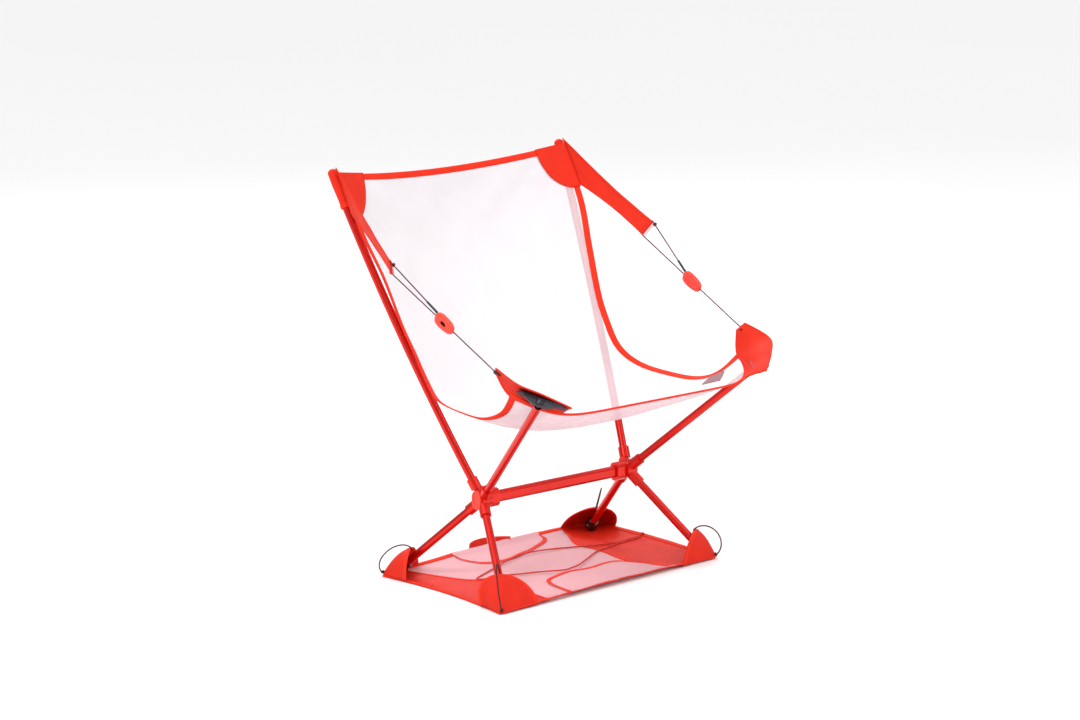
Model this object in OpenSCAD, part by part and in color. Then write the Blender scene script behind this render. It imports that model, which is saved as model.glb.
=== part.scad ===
// Ultralight backpacking chair. Two clevis hubs on an oval crossbar carry four legs, two
// seat poles and two bowed back poles. A mesh sling hangs from the four pole tips, a cord
// with a sliding adjuster on each side sets the recline, and a mesh footprint with toe
// pockets ties the feet together. The sitter's left is +X and the front is -Y.

/* [Frame] */
// Distance between the two hub centres
hub_spacing = 323; // [315:1:330]
// Height of the hub centres above the ground
hub_height = 140.6; // [138:0.2:143]
// How far the hub axis sits in front of the origin
hub_forward = 3.485; // [0:0.1:10]
// Outer diameter of the poles and legs
pole_d = 13; // [12.6:0.1:13]
// Wall thickness of the poles and legs
pole_wall = 0.9; // [0.7:0.1:1.1]
// Height of the oval crossbar
crossbar_h = 20; // [18:1:21]
// Depth of the oval crossbar
crossbar_d = 11; // [9:1:12]
// Bend of each back pole from hub to tip, in degrees
back_pole_bend = 7; // [5:0.5:8]
// Diameter of the ball feet
foot_d = 22; // [20:1:23]

/* [Sling] */
// Half the distance between the back pole tips
back_tip_x = 250; // [246:1:254]
// Thickness of the mesh
mesh_t = 1.2; // [0.8:0.1:1.4]
// Width of the sewn binding along the edges
binding_w = 11; // [9:1:12]
// Thickness of the sewn binding
binding_t = 2.4; // [2:0.1:2.8]

/* [Recline] */
// How far the back folds forward from rest, in degrees
recline_forward = 9.5; // [5:0.5:9.5]
// How far the back leans further back from rest, in degrees
recline_back = 2.4; // [1:0.2:2.4]
// Diameter of the side cords
cord_d = 2; // [1.6:0.1:2.2]

/* [Footprint] */
// Width of the footprint's edge binding
footprint_binding_w = 9; // [8:1:11]
// Thickness of the footprint's fabric panels
footprint_t = 1; // [0.8:0.1:1.2]
// Height of the toe pockets' arched mouths
pocket_h = 44; // [40:1:48]

/* [Hidden] */

// Sides, as the sign of X
LEFT = 1;
RIGHT = -1;

// Colours
anodised = [0.80, 0.16, 0.13];
fabric_red = [0.86, 0.20, 0.12];
coral = [0.93, 0.31, 0.23];
mesh_pale = [0.88, 0.82, 0.84];
mesh_pink = [0.90, 0.69, 0.71];
navy = [0.09, 0.12, 0.17];
gloss_black = [0.06, 0.05, 0.05];
cord_brown = [0.35, 0.16, 0.17];
tag_grey = [0.55, 0.44, 0.47];

// Frame points, for the left side, measured from the middle of the hub axis
hub = [hub_spacing / 2, 0, hub_height];
pole_r = pole_d / 2;
foot_r = foot_d / 2;
foot_z = footprint_t + foot_r + 0.05;
front_foot = [222.5, -116.5, foot_z];
rear_foot = [212.4, 139.2, foot_z];
seat_tip = [246.5, -227.4, 345];
back_tip = [back_tip_x, 262, 652];
fit_gap = 0.05;

// Hub clevis
cheek_r = 14.5;
hub_half_w = 10.5;
slot_half_w = 6.3;
knuckle_half_w = 6;
knuckle_r = 11;
pin_r = 3;
sleeve_r = 9.2;
socket_floor = 16;
sleeve_end = 32;
knuckle_sleeve = [19, 22, 38]; // base, floor of the socket, mouth
cap_h = 31;
cap_w = 20;
cap_t = 3.5;
collar_len = 19.5;
collar_wall = 4;

function unit(v) = v / norm(v);
function mix(a, b, t) = a + (b - a) * t;

// Smooth curve through the listed points; t counts points from 0
function spline(p, t) = let(
    last = len(p) - 1,
    i = max(0, min(floor(t), last - 1)),
    f = t - i,
    a = p[max(i - 1, 0)],
    b = p[i],
    c = p[i + 1],
    d = p[min(i + 2, last)]
) 0.5 * (2 * b + (c - a) * f + (2 * a - 5 * b + 4 * c - d) * f * f
    + (3 * b - a - 3 * c + d) * f * f * f);

function steps(from, to, n) = [for (i = [0:n]) mix(from, to, i / n)];

// The frame stands with its hub axis ahead of the origin; the right side is a mirror image
module placed() {
    translate([0, -hub_forward, 0]) children();
}
module on_side(side) {
    placed() mirror([side == LEFT ? 0 : 1, 0, 0]) children();
}
// Both sides in one node
module both_sides() {
    on_side(LEFT) children();
    on_side(RIGHT) children();
}
// Turns +Z along dir, at point p
module aim(p, dir) {
    translate(p) rotate([0, acos(dir.z / norm(dir)), atan2(dir.y, dir.x)]) children();
}
module rod(p, dir, from, to, r) {
    aim(p, dir) translate([0, 0, from]) cylinder(h = to - from, r = r, $fn = 48);
}
module pipe(p, dir, from, to, r, wall) {
    difference() {
        rod(p, dir, from, to, r);
        rod(p, dir, from - 1, to + 1, r - wall);
    }
}
// Upright oval in the Y-Z plane, extruded along X from x0 to x1
module oval_bar(x0, x1, h, w) {
    translate([x0, 0, 0]) rotate([90, 0, 90]) linear_extrude(x1 - x0) {
        square([w, h - w], center = true);
        for (s = [-1, 1]) translate([0, s * (h - w) / 2]) circle(d = w, $fn = 48);
    }
}

// ---- Sheets and tubes from rows of points ----
function layer_faces(rows, cols, first, flip) = [
    for (i = [0:rows - 2], j = [0:cols - 2], k = [0, 1]) let(
        a = first + i * cols + j,
        tri = k == 0 ? [a, a + 1, a + cols + 1] : [a, a + cols + 1, a + cols]
    ) flip ? [tri[2], tri[1], tri[0]] : tri
];
function rim_loop(rows, cols) = concat(
    [for (j = [0:cols - 1]) j],
    [for (i = [1:rows - 1]) i * cols + cols - 1],
    [for (j = [cols - 2:-1:0]) (rows - 1) * cols + j],
    [for (i = [rows - 2:-1:1]) i * cols]
);
function rim_faces(rows, cols) = let(n = rows * cols, r = rim_loop(rows, cols)) [
    for (k = [0:len(r) - 1], h = [0, 1]) let(a = r[k], b = r[(k + 1) % len(r)])
        h == 0 ? [a, a + n, b + n] : [a, b + n, b]
];
function grid_normal(g, i, j) = let(
    rows = len(g),
    cols = len(g[0]),
    across = g[i][min(j + 1, cols - 1)] - g[i][max(j - 1, 0)],
    down = g[min(i + 1, rows - 1)][j] - g[max(i - 1, 0)][j]
) unit(cross(across, down));
// Closed sheet over a grid of points, from offset low to offset high along its normals
module sheet(grid, low, high) {
    rows = len(grid);
    cols = len(grid[0]);
    function layer(h) = [
        for (i = [0:rows - 1], j = [0:cols - 1]) grid[i][j] + grid_normal(grid, i, j) * h
    ];
    polyhedron(
        points = concat(layer(low), layer(high)),
        faces = concat(
            layer_faces(rows, cols, 0, false),
            layer_faces(rows, cols, rows * cols, true),
            rim_faces(rows, cols)
        )
    );
}
// Tube of the given radius along a list of points that never runs straight up
module cord_tube(route, r, sides = 8) {
    n = len(route);
    function ring(i) = let(
        along = unit(route[min(i + 1, n - 1)] - route[max(i - 1, 0)]),
        side = unit(cross([0, 0, 1], along)),
        up = cross(along, side)
    ) [for (k = [0:sides - 1]) let(a = 360 * k / sides)
        route[i] + r * (cos(a) * side + sin(a) * up)];
    polyhedron(
        points = [for (i = [0:n - 1]) each ring(i)],
        faces = concat(
            [[for (k = [0:sides - 1]) k]],
            [for (i = [0:n - 2], k = [0:sides - 1], h = [0, 1]) let(
                a = i * sides + k,
                b = i * sides + (k + 1) % sides
            ) h == 0 ? [a, a + sides, b + sides] : [a, b + sides, b]],
            [[for (k = [sides - 1:-1:0]) (n - 1) * sides + k]]
        )
    );
}

// ---- Back pole arc, left side ----
chord = back_tip - hub;
chord_dir = unit(chord);
bow_hint = [1, 0.4, 0];
bow = unit(bow_hint - chord_dir * (bow_hint * chord_dir));
arc_r = norm(chord) / (2 * sin(back_pole_bend / 2));
arc_centre = hub + chord / 2 - bow * arc_r * cos(back_pole_bend / 2);
arc_u = unit(hub - arc_centre);
arc_n = unit(cross(arc_u, chord));
arc_t = cross(arc_n, arc_u);
arc_per_mm = 180 / (PI * arc_r);
arc_len = back_pole_bend / arc_per_mm;
joint_at = arc_len / 2;
function arc_point(s) = let(a = s * arc_per_mm)
    arc_centre + arc_r * (cos(a) * arc_u + sin(a) * arc_t);
function arc_dir(s) = let(a = s * arc_per_mm) -sin(a) * arc_u + cos(a) * arc_t;
// Solid bar of radius r along the arc, between two distances from the hub
module arc_bar(from, to, r) {
    multmatrix([
        [arc_u.x, arc_t.x, arc_n.x, arc_centre.x],
        [arc_u.y, arc_t.y, arc_n.y, arc_centre.y],
        [arc_u.z, arc_t.z, arc_n.z, arc_centre.z],
        [0, 0, 0, 1]
    ]) rotate([0, 0, from * arc_per_mm])
        rotate_extrude(angle = (to - from) * arc_per_mm, $fn = 1800)
            translate([arc_r, 0]) circle(r = r, $fn = 48);
}
module arc_pipe(from, to, r, wall) {
    difference() {
        arc_bar(from, to, r);
        arc_bar(from - 1, to + 1, r - wall);
    }
}

// ---- Sling surface ----
// Side edge of the sling, left side, from the back corner down and forward
side_edge = [
    [248, 246, 650], [247, 197, 563], [232, 159, 488], [222, 127, 415], [217, 102, 373],
    [217, 72, 331], [228, 31, 306], [236, -40, 298], [241, -92, 300], [243, -134, 317],
    [254, -169, 353]
];
// Middle of the sling, as [y, z]
middle = [
    [272, 632], [255, 548], [230, 474], [201, 404], [166, 340], [118, 286], [60, 257],
    [-20, 246], [-88, 253], [-156, 279], [-241, 319]
];
// How squarely each cross-section turns up at its sides
fullness = [2, 2, 2, 2, 2, 2, 2, 2.2, 2.6, 4, 9];
rows_end = 10;
seam_back = 4.2;
seam_seat = 6;
seam_gap = 0.012;
binding_u = binding_w / 240;
binding_top = binding_w / 90;
binding_front = binding_w / 90;
function sling_point(u, t) = let(
    e = spline(side_edge, t),
    c = spline(middle, t),
    s = pow(abs(u), spline(fullness, t))
) [e.x * u, mix(c.x, e.y, s), mix(c.y, e.z, s)];
function sling_grid(u0, u1, t0, t1, nu, nt) =
    [for (t = steps(t0, t1, nt)) [for (u = steps(u0, u1, nu)) sling_point(u, t)]];
module sling_sheet(t0, t1, nt) {
    sheet(sling_grid(-1 + binding_u, 1 - binding_u, t0, t1, 24, nt), -mesh_t / 2, mesh_t / 2);
}
module side_binding(t0, t1, nt) {
    both_sides() sheet(
        sling_grid(1 - binding_u, 1, t0, t1, 2, nt), -binding_t / 2, binding_t / 2
    );
}

// ---- Seat corner, left side ----
// Fabric corners: inner back, outer back, outer front, inner front
corner_lift = [-1.9, 0.1, 3.1];
corner_a = [254, -169, 353] + corner_lift;
corner_p = [281, -212, 373] + corner_lift;
corner_q = [217.5, -266.3, 335.1] + corner_lift;
corner_b = [201, -243, 325] + corner_lift;
ear_low = [266, -147, 381];
ear_high = [276, -158, 394];
plate_x = unit(corner_b - corner_a);
plate_z = -unit(cross(corner_p - corner_a, corner_b - corner_a));
plate_y = cross(plate_z, plate_x);
ball_r = 6.5;
ball_gap = 0.3;
ball_neck = 10.5;
cup_r = 9;
plate_len = 82;
plate_w = 27;
plate_low = 4.4;
plate_high = 6.9;
plate_shift = -6; // towards the sling
rib_w = 10;
rib_low = -6;
// Local frame at the ball: x from back to front, z up through the fabric
module at_ball() {
    multmatrix([
        [plate_x.x, plate_y.x, plate_z.x, seat_tip.x],
        [plate_x.y, plate_y.y, plate_z.y, seat_tip.y],
        [plate_x.z, plate_y.z, plate_z.z, seat_tip.z],
        [0, 0, 0, 1]
    ]) children();
}

// ---- Side cord line, left side ----
ear_hole = [271, -153, 386];
hem_mid = [283, 80.5, 522.5];
hem_dir = unit([14, -12.6, 22.9]);
hem_half = 14.5;
hem_r = 3.2;
hem_low = hem_mid - hem_dir * hem_half;
hem_high = hem_mid + hem_dir * hem_half;
cord_r = cord_d / 2;
cord_line = hem_low - ear_hole;
cord_dir = unit(cord_line);
adjuster_at = 131;
adjuster_len = 44;
adjuster_w = 23;
adjuster_t = 9;
adjuster_mid = ear_hole + cord_dir * adjuster_at;
// The tail strand runs back from the high end of the hem to the adjuster's edge
adjuster_side = unit(cross(cord_dir, [1, 0, 0]));
tail_offset = 6;
tail_end = adjuster_mid + cord_dir * (adjuster_len / 2 + 1) - adjuster_side * tail_offset;
tail_dir = unit(tail_end - hem_high);
tail_len = norm(tail_end - hem_high);

// ---- Footprint outline, seen from above ----
tip_fr = [-272, -165];
tip_fl = [238, -138];
tip_rl = [262, 186];
tip_rr = [-249, 151];
near_edge_sag = 14;
tip_round = 8;
// Seams between the mesh and the solid end panels
near_seam = [[-225, 220], [-188, 110], [-168, 45], [-146, 5], [-138, -60], [-165, -210]];
far_seam = [[210, 230], [162, 145], [126, 85], [126, 30], [112, -40], [118, -90], [165, -210]];
far_out = 400;

function sagged(a, b, t, sag) = let(side = unit([b.y - a.y, a.x - b.x]))
    mix(a, b, t) - side * sag * sin(180 * t);
footprint_outline = concat(
    [tip_fr, tip_fl, tip_rl],
    [for (t = steps(0, 1, 12)) sagged(tip_rr, tip_fr, t, near_edge_sag)]
);
module footprint_area(inset) {
    offset(delta = -inset) offset(r = tip_round) offset(delta = -tip_round)
        polygon(footprint_outline);
}
module beyond_seam(seam, sign) {
    line = [for (t = steps(0, len(seam) - 1, 24)) spline(seam, t)];
    polygon(concat(line, [[sign * far_out, -far_out], [sign * far_out, far_out]]));
}

// Free edges of the two folded-in wings
front_wing_edge = [
    [-112, -147], [-100, -130], [-72, -56], [39, -42], [91, -40], [112, -64], [135, -133]
];
rear_wing_edge = [
    [-86, 147], [-86, 118], [-74, 92], [-49, 83], [-13, 86], [38, 103], [91, 126], [118, 148],
    [120, 163]
];
wing_z = 2.3;
wing_t = 1.2;

// Route of the drawcord, from the knot round the lacing and back to the knot
drawcord_r = 1.25;
drawcord_route = [
    [244, 52, 3.5], [214, 50, 3.2], [181, 47, 3.2], [137, 59, 3.4], [85, 78, 4.2], [45, 87, 5.2],
    [9, 87, 5.6], [-30, 77, 5.2], [-67, 63, 4], [-110, 45, 3.2], [-147, 28, 3.2], [-153, 21, 3.2],
    [-147, 15, 3.2], [-128, 13, 3.2], [-108, 11, 3.2], [-80, -2, 3.6], [-50, -18, 5], [-17, -38, 6],
    [0, -36, 6], [25, -28, 5.4], [70, -2, 4], [119, 25, 3.2], [181, 40, 3.2], [214, 43, 3.2],
    [243, 47, 3.5]
];
knot_r = 4;

// Toe pockets: how far their mouths end from each tip
pocket_side = 58;
pocket_front = 85;
pocket_t = 1.2;
elastic_r = 1.15;

// ---- Rigid frame ----
module crossbar() {
    color(anodised) placed() translate([0, 0, hub.z]) difference() {
        oval_bar(12 - hub.x, hub.x - 12, crossbar_h, crossbar_d);
        oval_bar(10 - hub.x, hub.x - 10, crossbar_h - 2.4, crossbar_d - 2.4);
    }
}
module hub_body(side) {
    seat_dir = seat_tip - hub;
    back_angle = atan2(arc_t.z, arc_t.y);
    neck_angle = 35;
    reach = 20;
    color(anodised) on_side(side) difference() {
        union() {
            translate(hub) rotate([0, 90, 0])
                cylinder(h = 2 * hub_half_w, r = cheek_r, center = true, $fn = 64);
            for (d = [seat_dir, front_foot - hub, rear_foot - hub])
                rod(hub, d, 0, sleeve_end, sleeve_r);
            translate(hub) oval_bar(
                -hub_half_w - collar_len, -hub_half_w + 1,
                crossbar_h + 2 * collar_wall + 3, crossbar_d + 2 * collar_wall
            );
        }
        // Room for the knuckle and for its neck over the whole recline
        translate(hub) rotate([0, 90, 0])
            cylinder(h = 2 * slot_half_w, r = knuckle_r + 0.4, center = true, $fn = 64);
        translate(hub - [slot_half_w, 0, 0]) rotate([90, 0, 90]) linear_extrude(2 * slot_half_w)
            polygon(concat([[0, 0]], [
                for (a = steps(
                    back_angle - recline_back - neck_angle,
                    back_angle + recline_forward + neck_angle, 8
                )) reach * [cos(a), sin(a)]
            ]));
        // Seats for the outer cap, the pivot pin, the crossbar and the poles
        translate(hub) oval_bar(hub_half_w, hub_half_w + 12, cap_h + 0.4, cap_w + 0.4);
        translate(hub) rotate([0, 90, 0])
            cylinder(h = 40, r = pin_r + 0.02, center = true, $fn = 48);
        translate(hub) oval_bar(
            -hub_half_w - collar_len - 1, -hub_half_w - 1,
            crossbar_h + 2 * fit_gap, crossbar_d + 2 * fit_gap
        );
        for (d = [seat_dir, front_foot - hub, rear_foot - hub])
            rod(hub, d, socket_floor, sleeve_end + 1, pole_r + fit_gap);
    }
}
module hub_caps() {
    color(coral) both_sides() translate(hub) difference() {
        oval_bar(hub_half_w + 0.1, hub_half_w + cap_t, cap_h, cap_w);
        oval_bar(hub_half_w + cap_t - 0.6, hub_half_w + cap_t + 1, cap_h - 7, cap_w - 7);
    }
}
module pivot_pins() {
    color("silver") both_sides() translate(hub) rotate([0, 90, 0])
        cylinder(h = 2 * hub_half_w - 0.2, r = pin_r, center = true, $fn = 48);
}
module seat_pole(side) {
    d = seat_tip - hub;
    color(anodised) on_side(side)
        pipe(hub, d, socket_floor + 0.5, norm(d) - ball_neck, pole_r, pole_wall);
}
module seat_ball_tips() {
    d = seat_tip - hub;
    end = norm(d) - ball_neck;
    color(gloss_black) both_sides() {
        translate(seat_tip) sphere(r = ball_r, $fn = 48);
        rod(hub, d, end - 12, end, pole_r - pole_wall - fit_gap);
        rod(hub, d, end - 0.01, norm(d), 4.2);
    }
}
module corner_plate(side) {
    hub_dir = hub - seat_tip;
    local = [hub_dir * plate_x, hub_dir * plate_y, hub_dir * plate_z];
    color(navy) on_side(side) at_ball() difference() {
        union() {
            translate([0, plate_shift, plate_low]) linear_extrude(plate_high - plate_low) {
                square([plate_len - plate_w, plate_w], center = true);
                for (s = [-1, 1]) translate([s * (plate_len - plate_w) / 2, 0])
                    circle(d = plate_w, $fn = 64);
            }
            translate([0, 0, -3]) cylinder(h = plate_high + 2, r = cup_r, $fn = 48);
            // Rib along the plate, deepest at the cup
            translate([0, rib_w - 4, 0]) rotate([90, 0, 0]) linear_extrude(rib_w)
                polygon([[-33, 4.8], [33, 4.8], [11, rib_low], [-11, rib_low]]);
        }
        sphere(r = ball_r + ball_gap, $fn = 48);
        rod([0, 0, 0], local, 0, 30, 5.4);
    }
}
module leg(side, foot) {
    d = foot - hub;
    color(anodised) on_side(side)
        pipe(hub, d, socket_floor + 0.5, norm(d) - 3, pole_r, pole_wall);
}
module feet(foot) {
    d = foot - hub;
    color(gloss_black) both_sides() difference() {
        union() {
            translate(foot) sphere(r = foot_r, $fn = 48);
            rod(hub, d, norm(d) - 15, norm(d), 8.6);
        }
        rod(hub, d, norm(d) - 30, norm(d) - 2.9, pole_r + fit_gap);
    }
}
module base_shock_cords() {
    color("white") both_sides() {
        for (d = [seat_tip - hub, front_foot - hub, rear_foot - hub])
            rod(hub, d, socket_floor + 1, norm(d) - 24, 1.25);
    }
}

// ---- Reclining back frame ----
module back_knuckle(side) {
    tilt = atan2(arc_t.z, arc_t.y);
    color(anodised) on_side(side) difference() {
        union() {
            translate(hub - [knuckle_half_w, 0, 0]) rotate([90, 0, 90])
                linear_extrude(2 * knuckle_half_w) {
                    circle(r = knuckle_r, $fn = 64);
                    rotate(tilt) translate([0, -6]) square([20.5, 12]);
                }
            rod(hub, arc_t, knuckle_sleeve[0], knuckle_sleeve[2], sleeve_r);
        }
        translate(hub) rotate([0, 90, 0])
            cylinder(h = 40, r = pin_r + 0.06, center = true, $fn = 48);
        rod(hub, arc_t, knuckle_sleeve[1], knuckle_sleeve[2] + 1, pole_r + fit_gap);
    }
}
module back_pole_lower(side) {
    color(anodised) on_side(side)
        arc_pipe(knuckle_sleeve[1] + 0.5, joint_at - 0.1, pole_r, pole_wall);
}
module back_pole_upper(side) {
    color(anodised) on_side(side)
        arc_pipe(joint_at + 0.1, arc_len - 6, pole_r, pole_wall);
}
module back_ferrules() {
    color("gainsboro") both_sides()
        arc_pipe(joint_at - 38, joint_at + 38, pole_r - pole_wall - fit_gap, 0.8);
}
module back_tip_caps() {
    top = arc_point(arc_len);
    color(anodised) both_sides() {
        rod(top, arc_dir(arc_len), -18, -5.95, pole_r - pole_wall - fit_gap);
        rod(top, arc_dir(arc_len), -5.96, 0, pole_r + 0.5);
    }
}
module back_shock_cords() {
    color("white") both_sides() arc_bar(knuckle_sleeve[1] + 1, arc_len - 24, 1.25);
}

// ---- Sling and its edges ----
module sling_back() {
    color(mesh_pale) placed() sling_sheet(binding_top, seam_back - seam_gap, 14);
}
module sling_bend() {
    color(mesh_pale) placed() sling_sheet(seam_back, seam_seat - seam_gap, 8);
}
module sling_seat() {
    color(mesh_pale) placed() sling_sheet(seam_seat, rows_end - binding_front, 16);
}
module side_binding_back() {
    color(fabric_red) side_binding(binding_top, seam_back - seam_gap, 14);
}
module side_binding_bend() {
    color(fabric_red) side_binding(seam_back, seam_seat - seam_gap, 8);
}
module side_binding_seat() {
    color(fabric_red) side_binding(seam_seat, rows_end - binding_front - 3 * seam_gap, 16);
}
module top_binding() {
    color(fabric_red) placed()
        sheet(sling_grid(-1, 1, 0, binding_top, 24, 2), -binding_t / 2, binding_t / 2);
}
module front_hem() {
    color(fabric_red) placed()
        sheet(sling_grid(-1, 1, rows_end - binding_front, rows_end, 40, 2),
            -binding_t / 2, binding_t / 2);
}
// Reinforced corner with the closed sleeve that holds the pole's tip
module back_corner(side) {
    sleeve_len = 62;
    wall = 1.2;
    bore = pole_r + 1.1;
    dir = arc_dir(arc_len);
    color(fabric_red) on_side(side) {
        sheet(sling_grid(0.78, 1, 0, 0.75, 5, 6), binding_t / 2 + 0.1, binding_t / 2 + 1.4);
        difference() {
            rod(back_tip, dir, -sleeve_len, 2.5, bore + wall);
            rod(back_tip, dir, -sleeve_len - 5, 1, bore);
        }
    }
}
// Fabric shield over the seat pole's tip, with the ear that anchors the side cord
module seat_corner(side) {
    n = 6;
    fabric_t = 1.3;
    color(fabric_red) on_side(side) {
        sheet([for (t = steps(0, 1, n)) [
            mix(corner_a, corner_b, t), mix(corner_p, corner_q, t)
        ]], 0, fabric_t);
        sheet([for (t = steps(0, 1, n)) [
            mix(ear_low, corner_a, t), mix(ear_high, corner_p, t)
        ]], 0, fabric_t);
    }
}
module side_tag() {
    color(tag_grey) placed() sheet(sling_grid(0.86, 0.95, 8.72, 9.28, 6, 8), -2.8, -1.8);
}
module arm_strap(side) {
    strap_t = 1.6;
    rear_high = [252, 242, 652];
    rear_low = [250.5, 208, 584];
    hem_offset = cord_dir * -1;
    color(fabric_red) on_side(side) {
        sheet([for (t = steps(0, 1, 10)) [
            mix(rear_low, hem_low, t) + hem_offset * t, mix(rear_high, hem_high, t) + hem_offset * t
        ]], -strap_t / 2, strap_t / 2);
        difference() {
            rod(hem_low, hem_dir, 0, 2 * hem_half, hem_r);
            rod(hem_low, hem_dir, -1, 2 * hem_half + 1, cord_r + 0.5);
        }
    }
}

// ---- Side cords and adjusters ----
module lower_cords() {
    color(cord_brown) both_sides() rod(ear_hole, cord_dir, 0, adjuster_at - 0.2, cord_r);
}
module upper_cords() {
    bend_r = cord_r + 0.01;
    color(cord_brown) both_sides() {
        rod(ear_hole, cord_dir, adjuster_at, norm(cord_line), cord_r);
        translate(hem_low) sphere(r = bend_r, $fn = 24);
        rod(hem_low, hem_dir, 0, 2 * hem_half, cord_r);
        translate(hem_high) sphere(r = bend_r, $fn = 24);
        rod(hem_high, tail_dir, 0, tail_len - 24, cord_r);
    }
}
module adjuster(side) {
    corner_r = 6;
    across = cross(adjuster_side, cord_dir);
    color(coral) on_side(side) difference() {
        multmatrix([
            [adjuster_side.x, across.x, cord_dir.x, adjuster_mid.x],
            [adjuster_side.y, across.y, cord_dir.y, adjuster_mid.y],
            [adjuster_side.z, across.z, cord_dir.z, adjuster_mid.z],
            [0, 0, 0, 1]
        ]) rotate([90, 0, 0]) linear_extrude(adjuster_t, center = true) {
            square([adjuster_w - 2 * corner_r, adjuster_len], center = true);
            square([adjuster_w, adjuster_len - 2 * corner_r], center = true);
            for (x = [-1, 1], y = [-1, 1])
                translate([x * (adjuster_w / 2 - corner_r), y * (adjuster_len / 2 - corner_r)])
                    circle(r = corner_r, $fn = 48);
        }
        rod(ear_hole, cord_dir, adjuster_at - 40, adjuster_at + 40, cord_r + 0.3);
        rod(tail_end, -cord_dir, -5, 14, cord_r + 0.3);
    }
}
// Stiff sleeve over the spliced end of the tail strand, ending in the adjuster
module cord_sleeve(side) {
    color(navy) on_side(side) {
        rod(tail_end, -tail_dir, 0, 23.5, cord_r + 0.9);
        translate(tail_end) sphere(r = cord_r + 1.2, $fn = 24);
    }
}

// ---- Footprint ----
module footprint_mesh() {
    color(mesh_pink) placed() linear_extrude(footprint_t) difference() {
        footprint_area(footprint_binding_w);
        beyond_seam(near_seam, -1);
        beyond_seam(far_seam, 1);
    }
}
module footprint_panel(seam, sign) {
    color(fabric_red) placed() linear_extrude(footprint_t) intersection() {
        footprint_area(footprint_binding_w);
        beyond_seam(seam, sign);
    }
}
module footprint_binding() {
    color(fabric_red) placed() linear_extrude(2 * footprint_t) difference() {
        footprint_area(0);
        footprint_area(footprint_binding_w);
    }
}
module wing(edge) {
    color(mesh_pink) placed() translate([0, 0, wing_z]) linear_extrude(wing_t)
        polygon([for (t = steps(0, len(edge) - 1, 32)) spline(edge, t)]);
}
// Webbing loop that stands on edge behind the footprint's rear edge
module carry_handle() {
    half_len = 46;
    bulge = 20;
    web_t = 1.8;
    web_h = 12;
    base_z = 2 * footprint_t + 0.2;
    start_y = 168;
    bow_r = (half_len * half_len + bulge * bulge) / (2 * bulge);
    color(fabric_red) placed() translate([6, start_y, base_z]) linear_extrude(web_h) difference() {
        translate([0, bulge - bow_r]) circle(r = bow_r, $fn = 96);
        translate([0, bulge - bow_r]) circle(r = bow_r - web_t, $fn = 96);
        translate([-2 * bow_r, -4 * bow_r]) square([4 * bow_r, 4 * bow_r]);
    }
}
module drawcord() {
    samples = 74;
    color(fabric_red) placed() {
        cord_tube([
            for (t = steps(0, len(drawcord_route) - 1, samples)) spline(drawcord_route, t)
        ], drawcord_r);
        translate([246, 49.5, knot_r + 2 * footprint_t + 0.1]) sphere(r = knot_r, $fn = 32);
    }
}
// Toe pocket: [foot, ground tip, the two ends of its mouth on the footprint's edges]
function inward(p, by) = p - unit(p) * by;
function along_edge(from, to, by, in = 2) = inward(from + unit(to - from) * by, in);
function flip_x(v) = [-v.x, v.y, v.z];
corners = [
    [front_foot, inward(tip_fl, 4),
        along_edge(tip_fl, tip_rl, pocket_side), along_edge(tip_fl, tip_fr, pocket_front)],
    [flip_x(front_foot), inward(tip_fr, 4),
        along_edge(tip_fr, tip_fl, pocket_front), along_edge(tip_fr, tip_rr, pocket_side, 8)],
    [rear_foot, inward(tip_rl, 4),
        along_edge(tip_rl, tip_rr, pocket_front), along_edge(tip_rl, tip_fl, pocket_side)],
    [flip_x(rear_foot), inward(tip_rr, 4),
        along_edge(tip_rr, tip_fr, pocket_side, 8), along_edge(tip_rr, tip_rl, pocket_front)]
];
// Top of the mouth, on the outer side of the leg
function pocket_apex(c) = let(
    foot = c[0],
    leg = [sign(foot.x) * hub.x, 0, hub.z] - foot,
    out = unit([c[1].x - foot.x, c[1].y - foot.y]),
    lean = 0.6 * (pocket_h - foot.z) / leg.z
) [foot.x + leg.x * lean + out.x * 5, foot.y + leg.y * lean + out.y * 5, pocket_h];
function pocket_mouth(c, a) = let(
    apex = pocket_apex(c),
    rise = pow(sin(a), 0.85),
    ends = (c[2] - c[3]) / 2 * cos(a),
    mid = (c[2] + c[3]) / 2
) [
    mix(mid.x, apex.x, rise) + ends.x,
    mix(mid.y, apex.y, rise) + ends.y,
    mix(2 * footprint_t + 0.4, apex.z, rise)
];
// Fabric from the ground tip to the arched mouth, full enough to clear the foot
module toe_pocket(c) {
    ground_z = 2 * footprint_t + 0.5;
    color(fabric_red) placed() sheet([
        for (r = steps(0.12, 1, 6)) [
            for (a = steps(0, 180, 14)) let(m = pocket_mouth(c, a)) [
                mix(c[1].x, m.x, r), mix(c[1].y, m.y, r), mix(ground_z, m.z, r * (1.9 - 0.9 * r))
            ]
        ]
    ], -pocket_t, 0);
}
// One stiff elastic loop per corner, from the ground tip to the mouth's top
module elastic_loops() {
    color(cord_brown) placed() for (c = corners) {
        a = [c[1].x, c[1].y, 2 * footprint_t + 4];
        b = pocket_apex(c) + [0, 0, pocket_t];
        half = norm(b - a) / 2;
        along = unit(b - a);
        out = unit([c[1].x - c[0].x, c[1].y - c[0].y, 0]);
        rise = unit(cross(cross(along, out), along));
        turn = cross(along, rise);
        mid = (a + b) / 2;
        multmatrix([
            [along.x, rise.x, turn.x, mid.x],
            [along.y, rise.y, turn.y, mid.y],
            [along.z, rise.z, turn.z, mid.z],
            [0, 0, 0, 1]
        ]) rotate_extrude(angle = 180, $fn = 96) translate([half, 0]) circle(elastic_r, $fn = 24);
    }
}

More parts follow.
